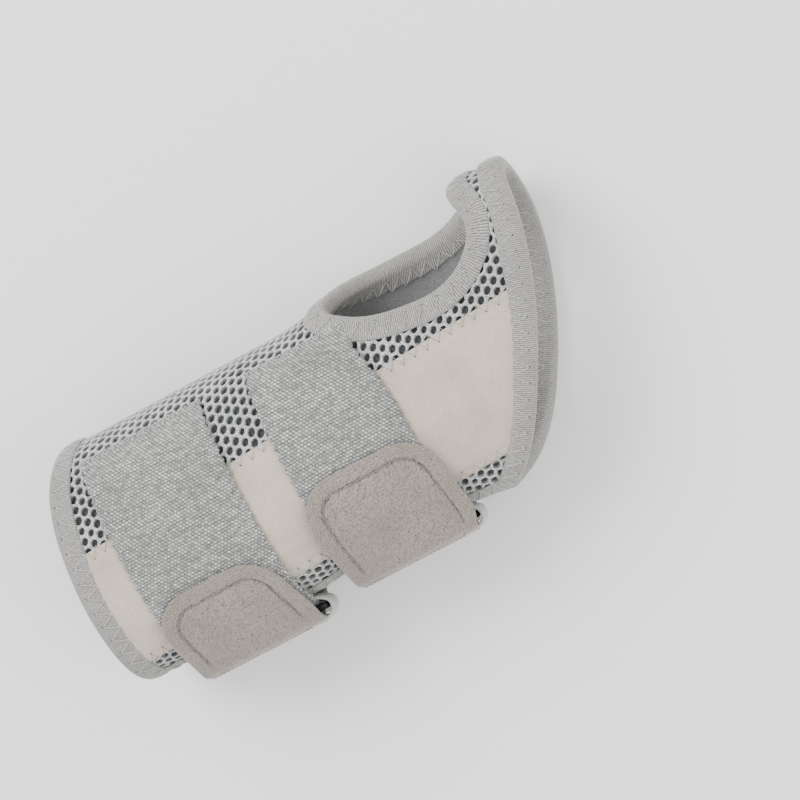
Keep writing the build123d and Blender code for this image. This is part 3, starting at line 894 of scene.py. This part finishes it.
def elastic_strap(name, x0, x1, sewn_y, bar, narrow):
    """The knitted elastic, drawn in a little at its sewn end and inside its fold."""
    ribbon = Ribbon(x0, x1, elastic_path(sewn_y, bar))
    rows, columns = int(ribbon.length / ELASTIC_STEP), int((x1 - x0) / ELASTIC_STEP)
    e = np.linspace(0, ribbon.length, rows)[:, None]
    v = np.linspace(0, 1, columns)[None]
    ragged = 0.25 * np.sin(e * 1.9) + 0.15 * np.sin(e * 4.7)
    far = x1 - narrow * (1 - smooth(e / 30.0))
    loose = smooth((ribbon.length - 5 - e) / 6)
    x = x0 + (far - x0) * v + ragged * loose * np.where(v > 0.5, 1, -1) * np.abs(2 * v - 1) ** 8
    x = x - 0.5 * (1 - loose) * (2 * v - 1)
    side = np.minimum(v, 1 - v) * (far - x0)
    height = knit(e + 0.12 * np.sin(x * 0.35), x + 0.2 * np.sin(e * 0.23))
    edge = 1 - (1 - np.clip(np.minimum(side, e + 0.25) / 0.8, 0, 1)) ** 2
    cloth_wave = 0.10 * np.sin(x * 0.42 + e * 0.12) * smooth(e / 12) * smooth((ribbon.length - e) / 20)
    half = ELASTIC_THICK / 2
    top = half * edge + 0.17 * height + cloth_wave
    bottom = -half * edge + cloth_wave
    # the knit height is the relief that paints shade in the gaps and a highlight on the loop tops
    piece = slab(f"{name}_elastic_strap_web", ribbon.at(x, e, top), ribbon.at(x, e, bottom), ELASTIC, height)
    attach(piece, "sleeve")
    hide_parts(f"{name}_elastic_strap")
    return ribbon


def strap_seam(name, ribbon, x0, x1):
    """Close zigzag over the elastic's sewn end."""
    xs = np.arange(x0 + 0.6, x1 - 0.4, 0.8)
    jitter = rng.uniform(-0.15, 0.15, len(xs))
    turns = [(0.1 if k % 2 else 2.3) + jitter[k] for k in range(len(xs))]
    legs = [ribbon.at(x, e, 0.58 - 0.3 * smooth((0.5 - e) / 0.5)) for x, e in legs_between(xs, turns)]
    piece = sewn(f"{name}_strap_zigzag", legs, 0.11, THREAD)
    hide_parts(f"{name}_strap_seam")


def tip_reach(e, half, radius):
    """Half the width at e from a tip whose two corners are round."""
    return half - radius + np.sqrt(np.maximum(radius ** 2 - np.maximum(radius - e, 0) ** 2, 0))


def tab_edge(x, e, centre, half):
    """Distance in from the tab's outline: two straight sides and a tip with round corners."""
    beside_corner = np.abs(x - centre) - (half - TAB_CORNER)
    before_corner = TAB_CORNER - e
    in_corner = (beside_corner > 0) & (before_corner > 0)
    return np.where(in_corner, TAB_CORNER - np.hypot(beside_corner, before_corner),
                    np.minimum(half - np.abs(x - centre), e))


def tab_rows(length, step):
    """Rows along the tab: close together where the tip's corners turn."""
    turn = np.radians(np.linspace(0, 90, 44))
    corner = TAB_CORNER * (1 - np.cos(turn))
    rest = np.linspace(TAB_CORNER, length, int((length - TAB_CORNER) / step))
    return np.concatenate([corner, rest[1:]])


STITCH_INSET = 4.4
FLARE = {"lower": 3.2, "upper": 1.4}       # mm that the finger-side edge of each tab runs outwards
DRAWN_IN = {"lower": 0.8, "upper": 3.8}    # mm that it then draws in at the ring


def tab(name, x0, x1, tip_y, bar):
    """The brushed tab: rolled edges, a sunk stitch line, and its root turned in under the ring's bar."""
    centre, half = (x0 + x1) / 2, (x1 - x0) / 2
    ribbon = Ribbon(x0 - 1, x1 + 3, tab_path(tip_y, bar))
    e = tab_rows(ribbon.length, 0.3)[:, None]
    turn = np.linspace(-1, 1, 150) * np.pi / 2 * 0.9        # the columns lie closer together at the sides
    v = np.sin(turn)[None] / math.sin(turn[-1])
    x = centre + tip_reach(e, half, TAB_CORNER) * v
    inset = tab_edge(x, e, centre, half)
    x = x + FLARE[name] * np.maximum(v, 0) * (smooth(e / ribbon.length) - 0.45)
    x = x - DRAWN_IN[name] * np.maximum(v, 0) ** 3 * smooth((e - ribbon.length + 15) / 13)
    roll = np.sqrt(np.clip(1 - (1 - np.clip(inset / 0.75, 0, 1)) ** 2, 0, 1))
    on_line = smooth((ribbon.length - 8 - e) / 4)
    groove = 0.30 * np.exp(-((inset - STITCH_INSET) / 0.42) ** 2) * on_line
    rim = 0.14 * np.exp(-((inset - 2.2) / 1.3) ** 2)
    puff = 0.16 * smooth((inset - STITCH_INSET) / 5)
    twill = 0.018 * np.sin(2 * np.pi * (e + 0.10 * x + 0.12 * np.sin(x * 3.1)) / 0.95)
    twill = twill + 0.032 * rng.standard_normal(x.shape)
    half_thick = (TAB_TOP - TAB_LOW) / 2
    wave = 0.12 * np.sin(x * 0.25 + 0.6) * smooth((ribbon.length - e) / 12)
    top = half_thick * roll + rim - groove + puff + twill * roll + np.maximum(wave, 0)
    bottom = -half_thick * roll * 0.9
    # this relief paints shade in the stitch line and between the twill's ridges, with random tone from the
    # noise
    relief = twill * 22 - groove * 5
    piece = slab(f"{name}_tab_cloth", ribbon.at(x, e, top), ribbon.at(x, e, bottom), TAB, relief)
    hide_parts(f"{name}_tab")
    bend_across(piece)
    stitches(name, ribbon, centre, half)


def fold_web(name, x0, x1, bar):
    """The end of the elastic, turned round the bar and sewn under the tab's root."""
    radius = TAB_ROOT_RADIUS + 0.72
    ribbon = Ribbon(x0, x1, lambda x: round_bar(bar, radius, 166, 250, 8))
    e = np.linspace(0, ribbon.length, 30)[:, None]
    x = np.linspace(x0 + 0.3, x1 - 0.3, int((x1 - x0) / 0.2))[None]
    rib = np.cos(2 * np.pi * (x + 0.2 * e) / 1.35) + 0.3 * np.cos(2 * np.pi * e / 0.9)
    lip = np.sin(np.pi * e / ribbon.length) ** 0.3
    top = (0.26 + 0.16 * rib) * lip
    # the rib is the relief that paints shade between the ribs and a highlight on their tops
    piece = slab(f"{name}_fold_web", ribbon.at(x, e, top), ribbon.at(x, e, -0.35 * lip), ELASTIC,
                 np.clip(rib - 0.4, -1, 1))
    bend_across(piece)


RIM_STEP = 0.2
RIM_RIB = 0.8


def fold_rim(name, tab_end, ring_end, bar):
    """The finger end of the fold: cloth turned round the end of the ring."""
    round_ring = [(-2.4, -3.2), (-0.9, -2.8), (0.4, -1.6), (0.8, 0.1), (0.2, 1.6), (-1.6, 2.8), (-4.0, 3.8)]
    plan = curve([(tab_end - 3.0, bar[0] - 3.3)] + [(ring_end + x, bar[0] + y) for x, y in round_ring])
    plan = even(plan, RIM_STEP)
    share = np.linspace(0, 1, len(plan))[:, None]
    along = np.gradient(plan, axis=0)
    along /= np.linalg.norm(along, axis=1)[:, None]
    out = np.stack([along[:, 1], -along[:, 0]], axis=1)
    turn = np.radians(np.linspace(0, 360, 25)[:-1])
    half_thick = 0.52 * np.sin(np.pi * np.clip(share, 0.04, 0.96)) ** 0.2
    top = bar[1] + 2.4 + 1.6 * (2 * share - 1) ** 2
    bottom = bar[1] - 4.6 + 2.0 * (2 * share - 1) ** 2
    level = np.where(np.sin(turn) > 0, top - 0.5, bottom + 0.5)
    rib = np.cos(2 * np.pi * np.arange(len(plan)) * RIM_STEP / RIM_RIB)[:, None]
    reach = half_thick * np.cos(turn) + 0.03 * rib * (np.cos(turn) > 0.2)
    x = plan[:, 0, None] + out[:, 0, None] * reach
    y = plan[:, 1, None] + out[:, 1, None] * reach
    z = level + 0.5 * np.sin(turn) + 0.03 * rib
    points = np.stack([x, y, z], axis=-1)
    last = (len(plan) - 1) * len(turn)
    caps = [list(range(len(turn)))[::-1], list(range(last, last + len(turn)))]
    faces = grid_faces(len(plan), len(turn), wrap_columns=True).tolist()
    # the rib is the relief that paints shade between the rim's ribs
    piece = new_object(f"{name}_fold_rim", points, faces + caps, RIM, rib + 0 * x)
    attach(piece, "sleeve")


def bend_across(piece):
    """The piece's placement, baked into its points."""
    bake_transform(piece)


def stitches(name, ribbon, centre, half):
    """A U of lockstitches that holds the hook patch to the tab."""
    a, corner = half - STITCH_INSET, TAB_CORNER - STITCH_INSET
    turn = np.linspace(0, np.pi / 2, 14)
    far = ribbon.length - 9.5
    left = np.stack([np.full(40, -a), np.linspace(far, TAB_CORNER, 40)], axis=1)
    left_turn = np.stack([-a + corner - corner * np.cos(turn), TAB_CORNER - corner * np.sin(turn)], axis=1)
    tip = np.stack([np.linspace(-a + corner, a - corner, 30), np.full(30, STITCH_INSET)], axis=1)
    line = np.concatenate([left, left_turn[1:]])
    line = np.concatenate([line, tip[1:-1], (line * [-1, 1])[::-1]])
    line = even(line, 0.3)
    paths = []
    for k in range(0, len(line) - 9, 10):
        part = line[k:k + 9]
        lift = 0.40 + 0.10 * np.sin(np.linspace(0, np.pi, len(part)))
        level = (TAB_TOP - TAB_LOW) / 2 - 0.30 + lift * 0.6
        paths.append(ribbon.at(centre + part[:, 0], part[:, 1], level))
    piece = tubes(f"{name}_tab_stitches", paths, 0.12, TAB_THREAD)
    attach(piece, f"{name}_tab")
    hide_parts(f"{name}_tab_stitching")


def hook_patch(name, x0, x1, tip_y):
    """A plastic backing with rows of small hooks, face down on the elastic."""
    inset = 1.4
    mid = (HOOK_LOW + HOOK_TOP) / 2
    ribbon = Ribbon(x0, x1, lambda x: over_palm(x, tip_y - inset, 38.5, lambda share: mid, 9))
    centre, half = (x0 + x1) / 2, (x1 - x0) / 2 - inset
    radius = TAB_CORNER - inset
    turn = np.radians(np.linspace(0, 90, 16))
    e = np.concatenate([radius * (1 - np.cos(turn)), np.linspace(radius, ribbon.length, 20)[1:]])[:, None]
    x = centre + tip_reach(e, half, radius) * np.linspace(-1, 1, 40)[None]
    piece = slab(f"{name}_hook_backing", ribbon.at(x, e, 0.28), ribbon.at(x, e, -0.02), HOOKS)
    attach(piece, f"{name}_tab")
    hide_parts(f"{name}_hook_patch")
    hooks = []
    for row, along in enumerate(np.arange(1.0, ribbon.length - 0.8, 1.15)):
        side = tip_reach(along, half, radius) - 0.8
        for across in np.arange(-side, side, 1.1):
            bend = 0.22 if row % 2 else -0.22
            xs = centre + across + 0.5 * (row % 2) + bend * np.array([0, 0.1, 0.9, 1.7])
            hooks.append(ribbon.at(xs, along, np.array([0.02, -0.18, -0.30, -0.20])))
    piece = tubes(f"{name}_hooks", hooks, 0.09, HOOKS, sides=4)
    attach(piece, f"{name}_tab")


KEEPER_TAIL_ANGLES = (196, 202, 208, 214)


def keeper(name, x0, x1, bar):
    """Woven webbing from the back, over the ring's lower bar and down again, sewn with two rows."""
    def path(x):
        tail = surface(x, KEEPER_TAIL_ANGLES, 2.55)[:, 1:]
        back = surface(x, KEEPER_TAIL_ANGLES, 1.68)[:, 1:]
        return np.concatenate([tail[::-1], round_bar((bar[0], KEEPER_BAR_Z), 1.66, 190, 0, 8), back])
    ribbon = Ribbon(x0, x1, path)
    e = np.linspace(0, ribbon.length, int(ribbon.length / 0.2))[:, None]
    x = np.linspace(x0, x1, int((x1 - x0) / 0.24))[None]
    weave = np.sin(2 * np.pi * x / 1.3) * np.sin(2 * np.pi * e / 0.9) + 0.4 * np.cos(2 * np.pi * x / 0.65)
    side = np.minimum(x - x0, x1 - x)
    roll = 1 - (1 - np.clip(side / 0.5, 0, 1)) ** 2
    top = 0.40 * roll + 0.05 * weave
    bottom = -0.40 * roll
    # the weave is the relief that paints shade between the yarns
    piece = slab(f"{name}_ring_keeper_web", ribbon.at(x, e, top), ribbon.at(x, e, bottom), WEBBING, weave)
    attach(piece, "sleeve")
    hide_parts(f"{name}_ring_keeper")
    paths = []
    for along in (1.0, 4.6):
        for first in np.arange(x0 + 1, x1 - 3, 2.9):
            paths.append(ribbon.at(np.linspace(first, first + 2.2, 6), along, 0.46))
    sewn(f"{name}_keeper_stitches", paths, 0.13, THREAD)


for strap_name, strap in STRAPS.items():
    low, high = box_mm(f"{strap_name}_elastic_strap")
    web = elastic_strap(strap_name, low[0], high[0], strap["sewn_y"], strap["bar"], strap["narrow"])
    strap_seam(strap_name, web, low[0], high[0] - (8 if strap_name == "upper" else 0))
    low, high = box_mm(f"{strap_name}_tab")
    tab(strap_name, low[0], high[0], strap["tip_y"], strap["bar"])
    fold_web(strap_name, low[0] + 0.6, high[0] + 0.6 - DRAWN_IN[strap_name], strap["bar"])
    fold_rim(strap_name, high[0] - DRAWN_IN[strap_name], box_mm(f"{strap_name}_ring")[1][0], strap["bar"])
    hook_patch(strap_name, low[0], high[0], strap["tip_y"])
    low, high = box_mm(f"{strap_name}_ring_keeper")
    keeper(strap_name, low[0], high[0], strap["bar"])


# ---- carried-over parts ----
CARRIED_OVER = {"lower_ring": RING, "upper_ring": RING, "palm_stay": STAY, "palm_stay_caps": VINYL}
for node, finish in CARRIED_OVER.items():
    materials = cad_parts[node].data.materials
    materials.clear()
    materials.append(finish)


# ---- stage, light and camera ----
def area_light(name, where, size, power):
    """A square lamp turned to the middle of the splint."""
    data = bpy.data.lights.new(name, "AREA")
    data.shape = "SQUARE"
    data.size = size
    data.energy = power
    lamp = into_scene(name, data)
    lamp.location = where
    lamp.rotation_euler = (Vector((0, 0, 0.02)) - Vector(where)).to_track_quat("-Z", "Y").to_euler()


def stage():
    """A pale floor, a white surround and two lamps."""
    size, level = 3000.0, -0.4
    corners = [(-size, -size, level), (size, -size, level), (size, size, level), (-size, size, level)]
    nodes = Nodes("floor")
    set_inputs(nodes.shader, Base_Color=(0.92, 0.92, 0.92, 1), Roughness=0.9)
    floor = new_object("floor", corners, [(0, 1, 2, 3)], nodes.material)
    world = bpy.data.worlds.new("studio")
    world.use_nodes = True
    set_inputs(world.node_tree.nodes["Background"], Color=(1.0, 1.0, 1.0, 1), Strength=1.3)
    bpy.context.scene.world = world
    area_light("key", (-0.35, 0.75, 0.9), 0.7, 15.0)
    area_light("fill", (0.7, -0.5, 0.8), 0.9, 6.5)


CAMERA_TILT = math.radians(13)
CAMERA_TURN = math.radians(28)
CAMERA_AIM = Vector((0.0225, 0.003, 0.043))
CAMERA_SHIFT = (0.0045, 0.0021)
CAMERA_DISTANCE = 0.89
VIEW_WIDTH = 0.213


def camera():
    """A view down on the palm side, turned so that the forearm runs up to the right."""
    towards = Vector((math.sin(CAMERA_TILT), 0, math.cos(CAMERA_TILT)))
    along = Vector((math.cos(CAMERA_TILT), 0, -math.sin(CAMERA_TILT)))
    radial = Vector((0, 1, 0))
    right = math.cos(CAMERA_TURN) * along - math.sin(CAMERA_TURN) * radial
    up = math.sin(CAMERA_TURN) * along + math.cos(CAMERA_TURN) * radial
    data = bpy.data.cameras.new("camera")
    data.sensor_width = 36.0
    data.lens = 36.0 * CAMERA_DISTANCE / VIEW_WIDTH
    data.clip_start = 0.01
    view = into_scene("camera", data)
    view.matrix_world = Matrix((right, up, towards)).transposed().to_4x4()
    view.location = CAMERA_AIM + right * CAMERA_SHIFT[0] + up * CAMERA_SHIFT[1] + towards * CAMERA_DISTANCE
    bpy.context.scene.camera = view


stage()
camera()
